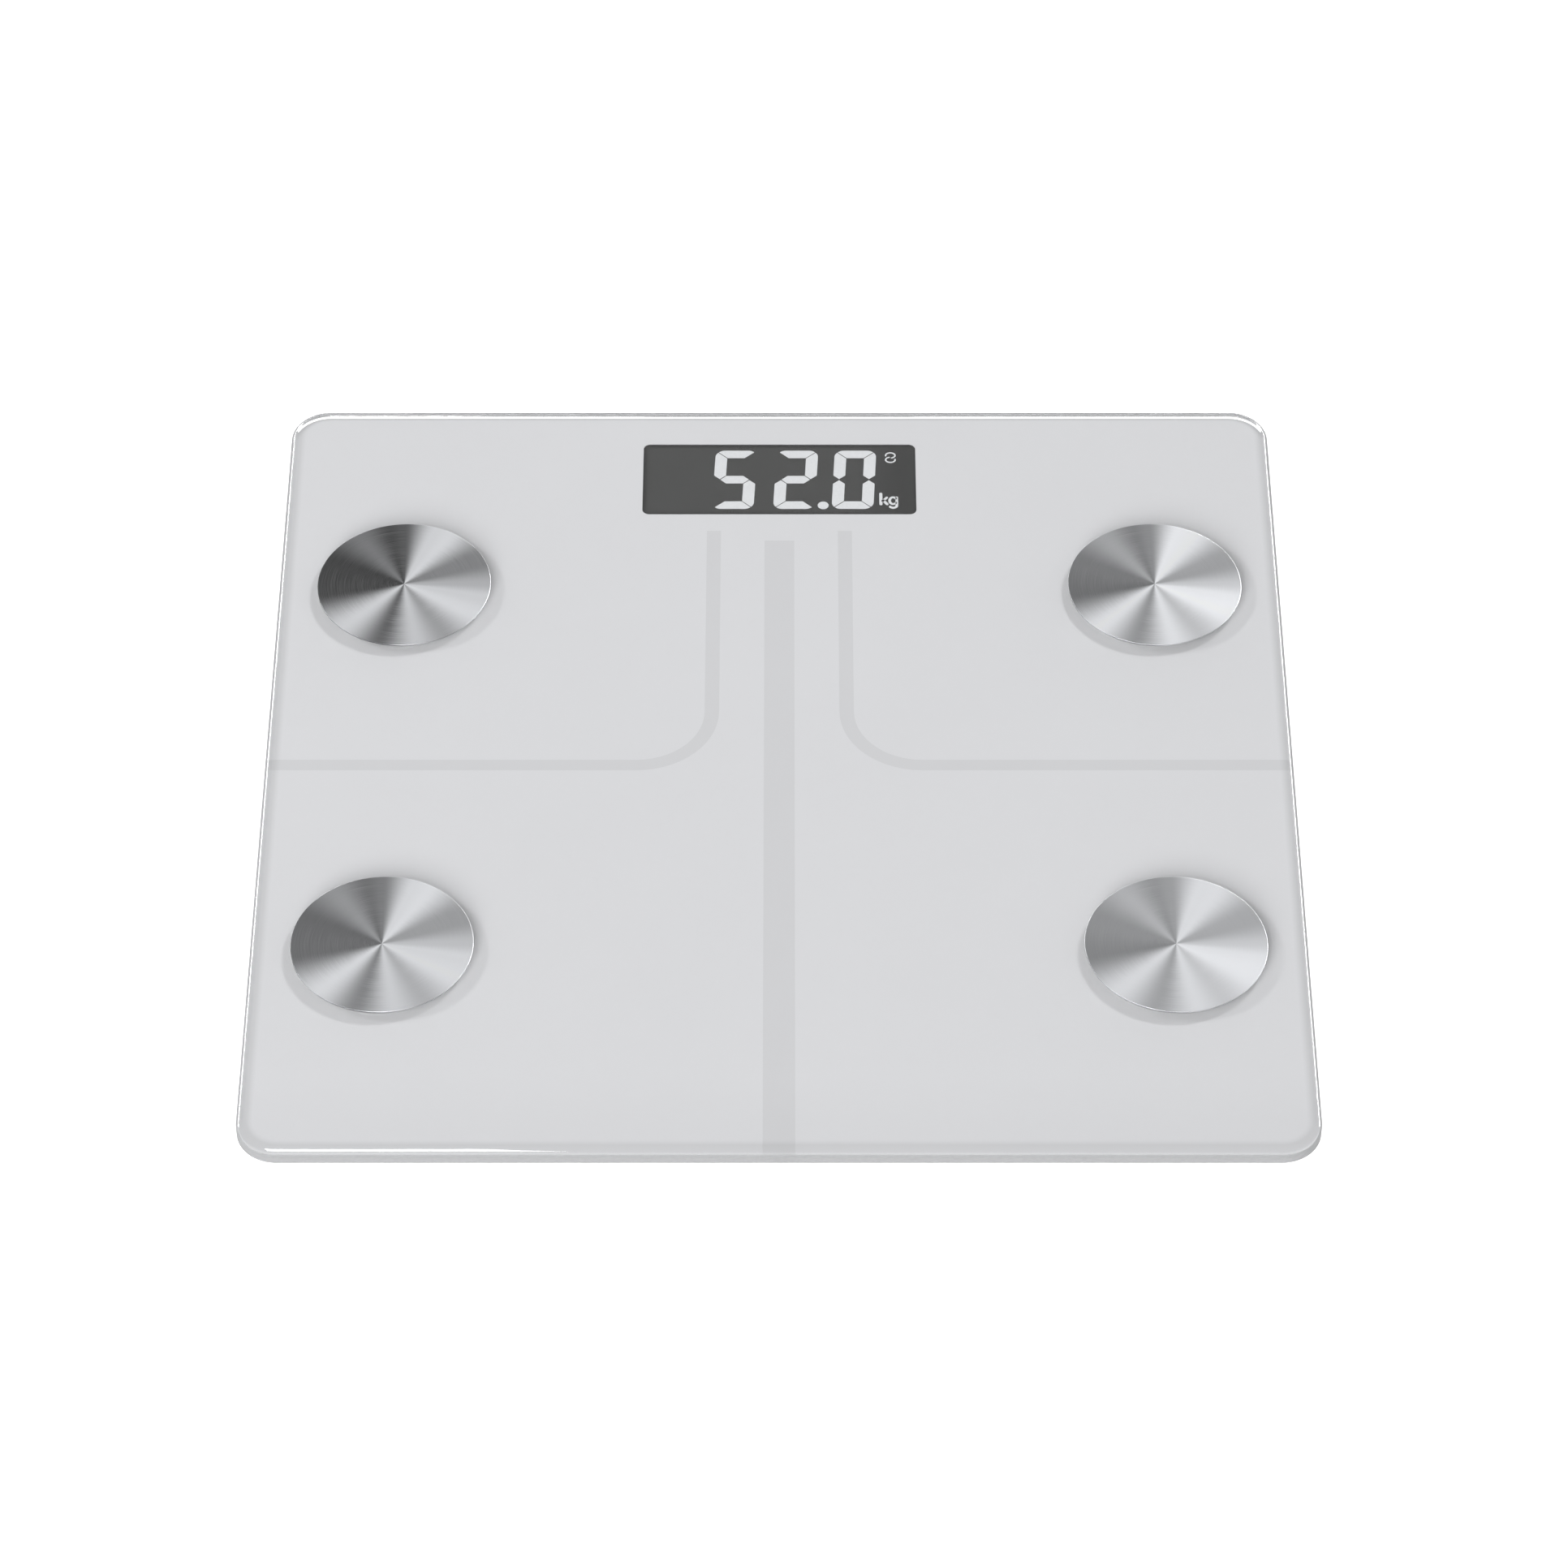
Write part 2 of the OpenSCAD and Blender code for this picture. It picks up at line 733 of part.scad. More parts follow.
module battery_door() {
    slot_w = 1;
    slot_l = 9;
    tongue_w = 14;
    grip = 0.4;
    color([0.92, 0.92, 0.91]) difference() {
        union() {
            box([-door_x, hinge_y, base_z], [door_x, door_rear, base_z + door_t]);
            translate([0, hinge_y, hinge_z]) rotate([0, 90, 0]) {
                cylinder(r = barrel_r, h = 2 * door_x, center = true);
                cylinder(r = hinge_pin_r, h = 2 * (door_x + hinge_pin_l), center = true);
            }
            box([-tongue_w / 2 + slot_w, door_rear - cut, base_z + 0.6],
                [tongue_w / 2 - slot_w, door_rear + 0.25, base_z + door_t]);
        }
        for (s = [-1, 1]) translate([s * tongue_w / 2 - slot_w / 2, door_rear - slot_l, base_z - cut])
            cube([slot_w, slot_l + cut, door_t + 2 * cut]);
        for (k = [0 : 2]) translate([-5, door_rear - 7 + 2 * k, base_z - cut]) cube([10, 0.9, grip + cut]);
    }
}

module rating_label() {
    color([0.8, 0.81, 0.82]) translate([0, label_y, base_z + label_recess - label_t])
        rounded_plate(label_w, label_d, label_t, label_r);
}

// ---- Wires ----

module both_sides() {
    for (s = [0, 1]) mirror([s, 0, 0]) children();
}

module load_cell_wires() {
    core = [[0.8, 0.15, 0.15], [0.1, 0.1, 0.1], [0.9, 0.9, 0.9]];
    both_sides() for (k = [-1 : 1]) color(core[k + 1]) {
        wire([for (p = front_cell_route) p + k * [wire_pitch, 0.75 * wire_pitch, 0]]);
        wire([for (p = rear_cell_route) p + k * [0, wire_pitch, 0]]);
    }
}

module electrode_wires() {
    color([0.85, 0.75, 0.2]) both_sides() {
        wire(front_electrode_route);
        wire(rear_electrode_route);
    }
}

module battery_wires() {
    color([0.8, 0.15, 0.15]) wire(positive_route);
    color([0.1, 0.1, 0.1]) wire(negative_route);
}

// ---- Assembly ----

glass_platform();
back_print();
printed_lines();
adhesive_frame();
base_housing();
cell_retainers();
for (f = FRONT_REAR, s = LEFT_RIGHT) {
    corner = str("_", f[0], "_", s[0]);
    electrode(f[1], s[1]);
    load_cell_frame(f[1], s[1]);
    load_cell_beam(f[1], s[1]);
    strain_gauge(f[1], s[1]);
    foot_cap(f[1], s[1]);
    foot_pad(f[1], s[1]);
}
electrode_bonds();
electrode_studs();
electrode_washers();
electrode_nuts();
lcd_panel();
lcd_backlight();
lcd_holder();
lcd_contact_strip();
main_board();
processor_chip();
converter_chip();
wireless_module();
crystal();
capacitors();
unit_switch();
switch_plunger();
unit_button();
board_screws();
holder_screws();
battery_cells();
battery_springs();
battery_plates();
battery_door();
rating_label();
load_cell_wires();
electrode_wires();
battery_wires();
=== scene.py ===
"""Looks of the glass bathroom scale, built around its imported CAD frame. Lengths are in metres."""
import math

import bmesh
import bpy
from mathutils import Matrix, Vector


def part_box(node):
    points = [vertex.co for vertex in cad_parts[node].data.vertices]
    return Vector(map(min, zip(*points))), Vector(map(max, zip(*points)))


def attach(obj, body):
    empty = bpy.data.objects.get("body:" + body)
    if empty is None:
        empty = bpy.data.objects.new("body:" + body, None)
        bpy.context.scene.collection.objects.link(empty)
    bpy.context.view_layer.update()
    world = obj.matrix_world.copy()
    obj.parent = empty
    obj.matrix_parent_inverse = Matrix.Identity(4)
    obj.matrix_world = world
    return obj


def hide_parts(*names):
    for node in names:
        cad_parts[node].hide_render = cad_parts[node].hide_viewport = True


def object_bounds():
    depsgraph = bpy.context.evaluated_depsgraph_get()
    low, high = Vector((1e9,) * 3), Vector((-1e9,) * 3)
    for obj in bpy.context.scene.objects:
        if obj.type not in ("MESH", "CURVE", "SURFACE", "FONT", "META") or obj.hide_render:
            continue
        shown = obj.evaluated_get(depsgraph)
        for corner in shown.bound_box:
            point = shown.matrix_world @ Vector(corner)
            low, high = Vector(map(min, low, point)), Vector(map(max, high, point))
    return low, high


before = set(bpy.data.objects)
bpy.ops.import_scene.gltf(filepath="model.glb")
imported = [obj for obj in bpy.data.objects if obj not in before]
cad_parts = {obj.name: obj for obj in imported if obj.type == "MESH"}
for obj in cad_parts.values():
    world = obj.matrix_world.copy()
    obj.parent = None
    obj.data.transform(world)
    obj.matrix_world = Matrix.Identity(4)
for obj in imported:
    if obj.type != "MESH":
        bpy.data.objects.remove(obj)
cad_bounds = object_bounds()

MM = 0.001
CORNERS = ("front_left", "front_right", "rear_left", "rear_right")
ROOT = "platform"

GLASS_LOW, GLASS_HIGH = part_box("glass_platform")
GLASS_HALF = (GLASS_HIGH.x - GLASS_LOW.x) / 2
GLASS_CORNER_R = 10 * MM
MIDDLE = (GLASS_LOW + GLASS_HIGH) / 2


# ---------------------------------------------------------------- meshes

def new_piece(name, mesh, body=ROOT, node=None):
    """Links a mesh as a piece that rides on a body and stands for a CAD node, whose part it hides."""
    piece = bpy.data.objects.new(name, mesh)
    bpy.context.scene.collection.objects.link(piece)
    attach(piece, body)
    if node:
        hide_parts(node)
    return piece


def mesh_from(name, points, faces, flat_faces=()):
    """Mesh from points and faces; faces are smooth unless their number is in flat_faces."""
    mesh = bpy.data.meshes.new(name)
    mesh.from_pydata(points, [], faces)
    for polygon in mesh.polygons:
        polygon.use_smooth = polygon.index not in flat_faces
    mesh.validate()
    mesh.update()
    return mesh


def loft(name, rings):
    """Closed mesh through rings of equally many points, with a flat face on each end."""
    count = len(rings[0])
    points = [p for ring in rings for p in ring]
    faces = []
    for level in range(len(rings) - 1):
        a, b = level * count, (level + 1) * count
        faces += [(a + k, a + (k + 1) % count, b + (k + 1) % count, b + k) for k in range(count)]
    last = (len(rings) - 1) * count
    faces += [tuple(reversed(range(count))), tuple(last + k for k in range(count))]
    return mesh_from(name, points, faces, flat_faces=(len(faces) - 2, len(faces) - 1))


def rounded_ring(half, corner_r, inset, z, steps=20):
    """Points round a square with round corners, moved in by inset."""
    ring = []
    for quarter, (sx, sy) in enumerate(((1, 1), (-1, 1), (-1, -1), (1, -1))):
        for k in range(steps + 1):
            angle = math.radians(90 * (quarter + k / steps))
            ring.append((
                MIDDLE.x + sx * (half - corner_r) + (corner_r - inset) * math.cos(angle),
                MIDDLE.y + sy * (half - corner_r) + (corner_r - inset) * math.sin(angle),
                z,
            ))
    return ring


def circle_ring(centre, radius, z, count=192):
    """Points round a level circle."""
    turns = (2 * math.pi * k / count for k in range(count))
    return [(centre.x + radius * math.cos(a), centre.y + radius * math.sin(a), z) for a in turns]


def ellipse_path(cx, cy, rx, ry, start, end, steps=24):
    """Points along an elliptical arc between two angles in degrees."""
    angles = (math.radians(start + (end - start) * k / steps) for k in range(steps + 1))
    return [(cx + rx * math.cos(a), cy + ry * math.sin(a)) for a in angles]


def arc(cx, cy, r, start, end, steps=6):
    return ellipse_path(cx, cy, r, r, start, end, steps)


def slab_profile(low, high, arris_r, edge_r, support):
    """(inset, z) pairs up the side of a slab: a small round edge below and a wide one above."""
    def quarter(radius, steps):
        angles = (math.radians(90 * k / steps) for k in range(steps + 1))
        return [(radius * (1 - math.sin(a)), radius * (1 - math.cos(a))) for a in angles]

    below = [(inset, low + rise) for inset, rise in quarter(arris_r, 5)]
    above = [(inset, high - drop) for inset, drop in reversed(quarter(edge_r, 16))]
    return [(arris_r + support, low)] + below + above + [(edge_r + support, high)]


def cut_holes(mesh, centres, radius, low, high, sides=48):
    """Drills upright round holes through a mesh."""
    blank = bpy.data.objects.new("blank", mesh)
    bpy.context.scene.collection.objects.link(blank)
    cutters = bmesh.new()
    for centre in centres:
        rings = [circle_ring(centre, radius, z, sides) for z in (low, high)]
        bottom, top = ([cutters.verts.new(p) for p in ring] for ring in rings)
        for k in range(sides):
            after = (k + 1) % sides
            cutters.faces.new((bottom[k], bottom[after], top[after], top[k]))
        cutters.faces.new(bottom[::-1])
        cutters.faces.new(top)
    cutter_mesh = bpy.data.meshes.new("cutters")
    cutters.to_mesh(cutter_mesh)
    cutters.free()
    cutter = bpy.data.objects.new("cutters", cutter_mesh)
    bpy.context.scene.collection.objects.link(cutter)
    drill = blank.modifiers.new("Drill", "BOOLEAN")
    drill.operation = "DIFFERENCE"
    drill.solver = "EXACT"
    drill.object = cutter
    bpy.context.view_layer.update()
    graph = bpy.context.evaluated_depsgraph_get()
    drilled = bpy.data.meshes.new_from_object(blank.evaluated_get(graph))
    for spent in (blank, cutter):
        bpy.data.objects.remove(spent)
    return drilled


# ---------------------------------------------------------------- materials

# Sockets of a Mix node for colours, which share their names with those for plain numbers
MIX_A, MIX_B, MIX_RESULT = 6, 7, 2


class Finish:
    """A Principled material under construction, with short names for the nodes that its pattern needs."""

    def __init__(self, name, settings):
        self.material = bpy.data.materials.new(name)
        self.material.use_nodes = True
        self.nodes = self.material.node_tree.nodes
        self.link = self.material.node_tree.links.new
        self.surface = self.nodes["Principled BSDF"]
        self.place = self.nodes.new("ShaderNodeTexCoord").outputs["Object"]
        for socket, value in settings.items():
            self.surface.inputs[socket].default_value = value

    def put(self, value, socket):
        """Links an output, or sets a plain value."""
        if hasattr(value, "is_output"):
            self.link(value, socket)
        else:
            socket.default_value = value

    def math(self, operation, a, b=0.0, c=None):
        node = self.nodes.new("ShaderNodeMath")
        node.operation = operation
        for value, socket in zip((a, b) if c is None else (a, b, c), node.inputs):
            self.put(value, socket)
        return node.outputs[0]

    def noise(self, scale, detail=2.0, roughness=0.5, vector=None):
        node = self.nodes.new("ShaderNodeTexNoise")
        node.inputs["Scale"].default_value = scale
        node.inputs["Detail"].default_value = detail
        node.inputs["Roughness"].default_value = roughness
        self.link(vector or self.place, node.inputs["Vector"])
        return node.outputs["Fac"]

    def split(self, vector=None):
        """X, Y and Z of a vector, or of the place on the piece."""
        node = self.nodes.new("ShaderNodeSeparateXYZ")
        self.link(vector or self.place, node.inputs[0])
        return [node.outputs[axis] for axis in "XYZ"]

    def length(self, x, y):
        squares = self.math("ADD", self.math("MULTIPLY", x, x), self.math("MULTIPLY", y, y))
        return self.math("SQRT", squares)

    def scaled(self, x, y, z):
        node = self.nodes.new("ShaderNodeMapping")
        node.inputs["Scale"].default_value = (x, y, z)
        self.link(self.place, node.inputs["Vector"])
        return node.outputs["Vector"]

    def spread(self, value, low, high, from_low=0.3, from_high=0.7):
        """Maps from_low..from_high, by default the usual range of a noise, to low..high."""
        node = self.nodes.new("ShaderNodeMapRange")
        self.link(value, node.inputs["Value"])
        for socket, number in zip(node.inputs[1:5], (from_low, from_high, low, high)):
            socket.default_value = number
        return node.outputs["Result"]

    def blend(self, factor, a, b, mode="MIX"):
        node = self.nodes.new("ShaderNodeMix")
        node.data_type = "RGBA"
        node.blend_type = mode
        self.put(factor, node.inputs["Factor"])
        self.put(a, node.inputs[MIX_A])
        self.put(b, node.inputs[MIX_B])
        return node.outputs[MIX_RESULT]

    def between(self, pattern, low, high):
        """Colour that follows a noise from one colour to another."""
        return self.blend(self.spread(pattern, 0.0, 1.0), low, high)

    def ramp(self, factor, stops, smooth=False):
        node = self.nodes.new("ShaderNodeValToRGB")
        node.color_ramp.interpolation = "EASE" if smooth else "LINEAR"
        elements = node.color_ramp.elements
        while len(elements) < len(stops):
            elements.new(1.0)
        for element, (place, colour) in zip(elements, stops):
            element.position = place
            element.color = colour
        self.link(factor, node.inputs["Fac"])
        return node.outputs["Color"]

    def bump(self, height, distance, strength=1.0):
        node = self.nodes.new("ShaderNodeBump")
        node.inputs["Strength"].default_value = strength
        node.inputs["Distance"].default_value = distance
        self.link(height, node.inputs["Height"])
        self.link(node.outputs["Normal"], self.surface.inputs["Normal"])

    def colour(self, value):
        self.link(value, self.surface.inputs["Base Color"])

    def roughness(self, value):
        self.link(value, self.surface.inputs["Roughness"])

    def mix_shaders(self, factor, a, b):
        node = self.nodes.new("ShaderNodeMixShader")
        for output, socket in zip((factor, a, b), node.inputs):
            self.link(output, socket)
        return node.outputs["Shader"]

    def show(self, shader):
        """Shows a shader in place of the Principled one alone."""
        self.link(shader, self.nodes["Material Output"].inputs["Surface"])


def grey(level, tint=(1.0, 1.0, 1.0)):
    return (level * tint[0], level * tint[1], level * tint[2], 1.0)


def shade(colour, factor):
    return tuple(min(c * factor, 1.0) for c in colour[:3]) + (1.0,)


def mottled(name, colour, settings=None, rough=(0.4, 0.5), grain=900.0, vary=0.04, relief=0.0, cloud=40.0):
    """Plastic, rubber or plain metal: cloudy colour, uneven gloss and a fine surface grain."""
    finish = Finish(name, settings or {})
    clouds = finish.noise(cloud, 3.0)
    specks = finish.noise(grain, 2.0, 0.6)
    mixed = finish.math("MULTIPLY_ADD", specks, 0.5, finish.math("MULTIPLY", clouds, 0.5))
    finish.colour(finish.between(mixed, shade(colour, 1 - vary), shade(colour, 1 + vary)))
    finish.roughness(finish.spread(specks, *rough))
    if relief:
        finish.bump(specks, relief)
    return finish.material


def brushed(name, colour, axis, rough=(0.25, 0.4), across=700.0, along=25.0):
    """Rolled or brushed sheet metal with grain lines along one axis (0, 1 or 2)."""
    finish = Finish(name, {"Metallic": 1.0, "Anisotropic": 0.5})
    stretch = [across, across, across]
    stretch[axis] = along
    lines = finish.noise(1.0, 4.0, 0.6, finish.scaled(*stretch))
    finish.colour(finish.between(lines, shade(colour, 0.88), shade(colour, 1.08)))
    finish.roughness(finish.spread(lines, *rough))
    finish.bump(lines, 0.01 * MM)
    return finish.material


# Tones of the finely ground glass sides, also used for the grey outline of painted shade on the round edge
GROUND_AND_SHADE_TONES = (0.41, 0.44)
GROUND_AND_SHADE_TINT = (0.99, 1.0, 1.02)
# How strongly the grey outline of painted shade covers the round edge where it is seen at a slant, and how
# strongly the grinding covers the upright sides from outside and through the glass
SLANT_OUTLINE_SHADE = 0.85
GROUND_SIDE = (0.85, 0.12)
# Heights of the normal that count as flat and as upright, and the slant of view that shows the painted shade
# outline
FLAT_TILT = (0.97, 0.995)
UPRIGHT_TILT = (0.02, 0.12)
SHOWING_SLANT = (0.44, 0.56)


def ground_sides_and_slant_shade(finish):
    """How much the grinding shows on the upright sides, and how much painted shade, a grey outline, shows at
    a slant on the round edge above them.
    """
    geometry = finish.nodes.new("ShaderNodeNewGeometry")
    tilt = finish.math("ABSOLUTE", finish.split(geometry.outputs["Normal"])[2])
    slant = finish.nodes.new("ShaderNodeLayerWeight")
    slant.inputs["Blend"].default_value = 0.5
    turned_away = finish.spread(slant.outputs["Facing"], 0.0, SLANT_OUTLINE_SHADE, *SHOWING_SLANT)
    # Painted shade: a grey outline where the round edge is seen at a slant
    grazing = finish.math("MULTIPLY", finish.spread(tilt, 1.0, 0.0, *FLAT_TILT), turned_away)
    seen_from = finish.spread(geometry.outputs["Backfacing"], *GROUND_SIDE, 0.0, 1.0)
    side = finish.math("MULTIPLY", finish.spread(tilt, 1.0, 0.0, *UPRIGHT_TILT), seen_from)
    return finish.math("MAXIMUM", grazing, side)


def glass_material():
    """Clear polished glass. Rays to lamps and from matt surfaces pass straight, so the ink behind is lit."""
    finish = Finish("tempered_glass", {
        "Base Color": (0.985, 0.995, 0.99, 1.0), "Roughness": 0.0, "IOR": 1.5, "Transmission Weight": 1.0,
    })
    finish.bump(finish.noise(9.0, 1.0), 0.01 * MM, 0.35)
    # One grey diffuse serves the grinding of the upright sides and the painted shade outline on the round
    # edge
    ground_and_slant_shade = finish.nodes.new("ShaderNodeBsdfDiffuse")
    dark, pale = (grey(tone, GROUND_AND_SHADE_TINT) for tone in GROUND_AND_SHADE_TONES)
    finish.link(finish.between(finish.noise(900.0), dark, pale), ground_and_slant_shade.inputs["Color"])
    shader = finish.mix_shaders(ground_sides_and_slant_shade(finish), finish.surface.outputs["BSDF"], ground_and_slant_shade.outputs["BSDF"])
    clear = finish.nodes.new("ShaderNodeBsdfTransparent")
    path = finish.nodes.new("ShaderNodeLightPath")
    for ray in ("Is Shadow Ray", "Is Diffuse Ray"):
        shader = finish.mix_shaders(path.outputs[ray], shader, clear.outputs["BSDF"])
    finish.show(shader)
    return finish.material


INK_TONE = 0.663
INK_TINT = (0.998, 1.0, 1.027)
# Painted falloff of the light: the ink is darker towards the near side and lighter towards the far side
INK_PAINTED_FALLOFF = (
    (0.03, grey(0.885)), (0.1, grey(0.922)), (0.28, grey(0.935)), (0.6, grey(0.969)), (1.0, grey(1.0)),
)
# The light comes over the near left edges, so the shade of the thick edge reaches further in there
RIM_SHIFT = Vector((0.2, 1.9, 0.0)) * MM
RIM_WIDTH = 3.6 * MM
RIM_SHADE = (
    (0.0, grey(0.80)), (0.3, grey(0.84)), (0.58, grey(0.86)), (0.75, grey(0.93)), (0.86, grey(0.965)),
    (1.0, grey(1.0)),
)
# Painted shade: a thin darker line along the cut edge of the ink
CUT_WIDTH = 1.2 * MM
CUT_SHADE = ((0.0, grey(0.84)), (0.35, grey(0.88)), (0.5, grey(0.94)), (1.0, grey(1.0)))
# The printed lines against the ink around them
LINE_TONE = 0.91
# Printed lines this near the middle are the centre stripe, which runs on past the end of its own piece
STRIPE_ZONE = 5 * MM
STRIPE_EXTRA = 3.1 * MM


def depth_inside(finish, half, centre):
    """Distance in from the outline of a square with the glass's round corners."""
    x, y, _ = finish.split()
    across = []
    for place, middle in ((x, centre.x), (y, centre.y)):
        offset = finish.math("ABSOLUTE", finish.math("SUBTRACT", place, middle))
        across.append(finish.math("SUBTRACT", offset, half - GLASS_CORNER_R))
    corner = finish.length(*(finish.math("MAXIMUM", value, 0.0) for value in across))
    side = finish.math("MINIMUM", finish.math("MAXIMUM", *across), 0.0)
    return finish.math("SUBTRACT", GLASS_CORNER_R, finish.math("ADD", corner, side))


def stripe_end(finish):
    """1 over the far end of the centre stripe, which is printed on past the separate stripe, else 0."""
    points = (vertex.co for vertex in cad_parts["printed_lines"].data.vertices)
    stripe = [co for co in points if abs(co.x) < STRIPE_ZONE]
    half = max(co.x for co in stripe)
    end = max(co.y for co in stripe) + STRIPE_EXTRA
    x, y, _ = finish.split()
    within = finish.math("LESS_THAN", finish.math("ABSOLUTE", x), half)
    return finish.math("MULTIPLY", within, finish.math("LESS_THAN", y, end))


def ink_material(name, colour, vary=0.008, striped=False):
    """Screen-printed ink: faint cloudiness and pinholes of tone, with painted shade: the shade of the glass's
    thick edge, a thin line along the ink's cut edge, and a falloff darker towards the near side.
    """
    finish = Finish(name, {"Specular IOR Level": 0.1})
    clouds = finish.noise(22.0, 4.0, 0.55)
    grain = finish.noise(2600.0, 2.0)
    tone = finish.math("MULTIPLY_ADD", grain, 0.25, finish.math("MULTIPLY", clouds, 0.75))
    ink = finish.between(tone, shade(colour, 1 - vary), shade(colour, 1 + vary))
    if striped:
        ink = finish.blend(stripe_end(finish), ink, shade(colour, LINE_TONE))
    low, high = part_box("back_print")
    depth = depth_inside(finish, GLASS_HALF, MIDDLE + RIM_SHIFT)
    inset = depth_inside(finish, (high.x - low.x) / 2, MIDDLE)
    along = finish.spread(finish.split()[1], 0.0, 1.0, MIDDLE.y - GLASS_HALF, MIDDLE.y + GLASS_HALF)
    # Painted shade multiplied into the ink: under the glass's thick edge, along the ink's cut edge, and the
    # falloff towards the near side
    for place, stops in (
        (finish.spread(depth, 0.0, 1.0, 0.0, RIM_WIDTH), RIM_SHADE),
        (finish.spread(inset, 0.0, 1.0, 0.0, CUT_WIDTH), CUT_SHADE),
        (along, INK_PAINTED_FALLOFF),
    ):
        ink = finish.blend(1.0, ink, finish.ramp(place, stops), "MULTIPLY")
    finish.colour(ink)
    finish.roughness(finish.spread(grain, 0.6, 0.75))
    return finish.material


# Painted reflection on a brushed disc: its brightness against the bearing from its centre, in turns from +X
# towards +Y
PAINTED_REFLECTION_FAN = (
    (0.000, 0.64), (0.055, 0.32), (0.085, 0.33), (0.160, 0.98), (0.195, 0.88), (0.255, 0.08), (0.285, 0.03),
    (0.350, 0.24), (0.430, 0.02), (0.530, 0.02), (0.628, 0.95), (0.710, 0.14), (0.780, 0.74), (0.835, 0.46),
    (0.915, 1.00), (0.965, 0.90), (1.000, 0.64),
)
# Bearing of the diagonal whose sectors of painted reflection differ most from disc to disc
REFLECTION_DIAGONAL = 0.14
STEEL_TINT = (0.979, 0.995, 1.027)
# Noise cells of the turned lines, per metre of radius and per turn
LINES_OUTWARD = 7500.0
LINES_ROUND = 9.0


def painted_reflection_tone(place, level, dark, bright, power, dim):
    """Tone of the painted reflection at a bearing (0 to 1 turn); dim weakens the sectors along one diagonal
    of the disc.
    """
    along = 0.5 + 0.5 * math.cos(4 * math.pi * (place - REFLECTION_DIAGONAL))
    return min(1.0, (dark + (bright - dark) * level ** power) * (1 - dim * along))


def disc_material(name, centre, tones):
    """Stainless steel turned on a lathe: a painted reflection, a fan of light and dark sectors, over fine
    concentric lines.
    """
    finish = Finish(name, {"Metallic": 1.0, "Anisotropic": 0.7})
    x, y, _ = finish.split()
    x = finish.math("SUBTRACT", x, centre.x)
    y = finish.math("SUBTRACT", y, centre.y)
    turns = finish.math("MULTIPLY_ADD", finish.math("ARCTAN2", y, x), 0.5 / math.pi, 1.0)
    bearing = finish.math("FRACT", turns)
    polar = finish.nodes.new("ShaderNodeCombineXYZ")
    finish.link(finish.math("MULTIPLY", finish.length(x, y), LINES_OUTWARD), polar.inputs[0])
    finish.link(finish.math("MULTIPLY", bearing, LINES_ROUND), polar.inputs[1])
    lines = finish.noise(1.0, 3.0, 0.65, polar.outputs[0])
    waver = finish.math("ADD", bearing, finish.spread(lines, -0.005, 0.005))
    stops = [(place, grey(painted_reflection_tone(place, level, *tones), STEEL_TINT)) for place, level in PAINTED_REFLECTION_FAN]
    # Painted reflection: the fan of light and dark sectors in the base colour
    fan = finish.ramp(waver, stops, smooth=True)
    finish.colour(finish.blend(finish.spread(lines, 0.0, 0.09), fan, grey(0.9)))
    finish.roughness(finish.spread(lines, 0.28, 0.34))
    finish.bump(lines, 0.001 * MM)
    tangent = finish.nodes.new("ShaderNodeTangent")
    tangent.direction_type = "RADIAL"
    tangent.axis = "Z"
    finish.link(tangent.outputs["Tangent"], finish.surface.inputs["Tangent"])
    return finish.material


WINDOW_W = 72.3 * MM
WINDOW_D = 27 * MM
# Painted shade of the window's edge darkens the rim between these distances in from the window's outline
WINDOW_SHADE_FROM = 1.6 * MM
WINDOW_SHADE_TO = 0.2 * MM
# The column of small symbols is dimmed by this much, from where it starts to where the dimming is full
SYMBOLS_DIM = 0.62
SYMBOLS_START = 20 * MM
SYMBOLS_FULL = 31 * MM
# Tint of the pale colour painted on the segments for their backlight's glow
SEGMENT_GLOW_TINT = (0.99, 1.0, 1.03)


def lcd_material():
    """Dark negative display: darker in the column of small symbols, with painted shade along the rim of its
    window.
    """
    low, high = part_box("lcd_panel")
    centre = (low + high) / 2
    finish = Finish("lcd_glass", {"Specular IOR Level": 0.0, "Roughness": 0.5})
    x, y, _ = finish.split()
    dim = finish.spread(x, 0.0, SYMBOLS_DIM, centre.x + SYMBOLS_START, centre.x + SYMBOLS_FULL)
    for place, middle, half in ((x, centre.x, WINDOW_W / 2), (y, centre.y, WINDOW_D / 2)):
        offset = finish.math("ABSOLUTE", finish.math("SUBTRACT", place, middle))
        # Painted shade along the rim of the window
        rim = finish.spread(offset, 0.0, 1.0, half - WINDOW_SHADE_FROM, half - WINDOW_SHADE_TO)
        dim = finish.math("MAXIMUM", dim, rim)
    tone = finish.between(finish.noise(60.0, 2.0), grey(0.036), grey(0.039))
    finish.colour(finish.blend(dim, tone, grey(0.003)))
    return finish.material


def segment_material():
    """Display segments whose backlight glow is painted as a pale colour, with the fine weave of the electrode
    pattern.
    """
    finish = Finish("lcd_segments", {"Specular IOR Level": 0.0, "Roughness": 0.6})
    weave = finish.noise(1800.0, 1.0)
    finish.colour(finish.between(weave, grey(0.71, SEGMENT_GLOW_TINT), grey(0.75, SEGMENT_GLOW_TINT)))
    return finish.material


# Glow of the floor as it is seen, and as it lights matt surfaces
FLOOR_GLOW = (1.0, 0.55)


